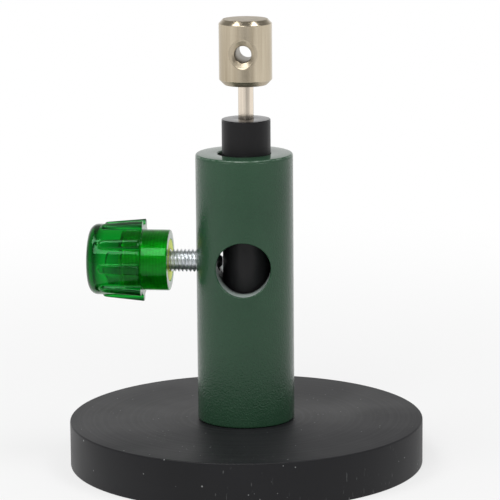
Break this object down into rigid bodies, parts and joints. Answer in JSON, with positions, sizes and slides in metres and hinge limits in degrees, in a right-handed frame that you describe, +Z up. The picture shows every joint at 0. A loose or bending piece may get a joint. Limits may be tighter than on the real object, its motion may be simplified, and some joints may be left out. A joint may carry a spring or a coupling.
{
  "type": "optical post",
  "caption": "Round post with a cross-drilled head, held by a ribbed thumbscrew in a windowed tube holder on a flat round base.",
  "frame": {"origin": "centre of the base's underside, which the part stands on", "axes": "+Z up along the holder, -X towards the thumbscrew, -Y towards the front mouth of the window"},
  "size_m": [0.093, 0.093, 0.1176],
  "materials": {
    "base_rubber": "matte",
    "fastener_steel": "satin",
    "green_coat": "satin",
    "black_anodised": "satin",
    "nickel_plate": "satin",
    "zinc_steel": "satin",
    "insert_brass": "satin",
    "clear_green": "gloss"
  },
  "bodies": {
    "stand": {"base_disc": "base_rubber", "base_screw": "fastener_steel", "holder": "green_coat"},
    "post": {"post": "black_anodised"},
    "head": {"head": "nickel_plate"},
    "screw_carrier": {"knob_insert": "insert_brass"},
    "thumbscrew": {"knob": "clear_green", "clamp_stud": "zinc_steel"}
  },
  "joints": [
    {"name": "post_slide", "type": "slide", "parent": "stand", "child": "post", "axis": [0, 0, 1], "range_m": [-0.005, 0.02]},
    {"name": "head_turn", "type": "hinge", "parent": "post", "child": "head", "pos_m": [0.00057, 0, 0.0916], "axis": [0, 0, 1], "continuous": true},
    {"name": "screw_feed", "type": "slide", "parent": "stand", "child": "screw_carrier", "axis": [1, 0, 0], "range_m": [-0.00401, 0]},
    {"name": "screw_turn", "type": "hinge", "parent": "screw_carrier", "child": "thumbscrew", "pos_m": [-0.0197, 0, 0.05395], "axis": [1, 0, 0], "range_deg": [-1440, 0]}
  ],
  "couplings": [
    {"joint": "screw_feed", "follows": "screw_turn", "m_per_rad": 0.00015915}
  ]
}
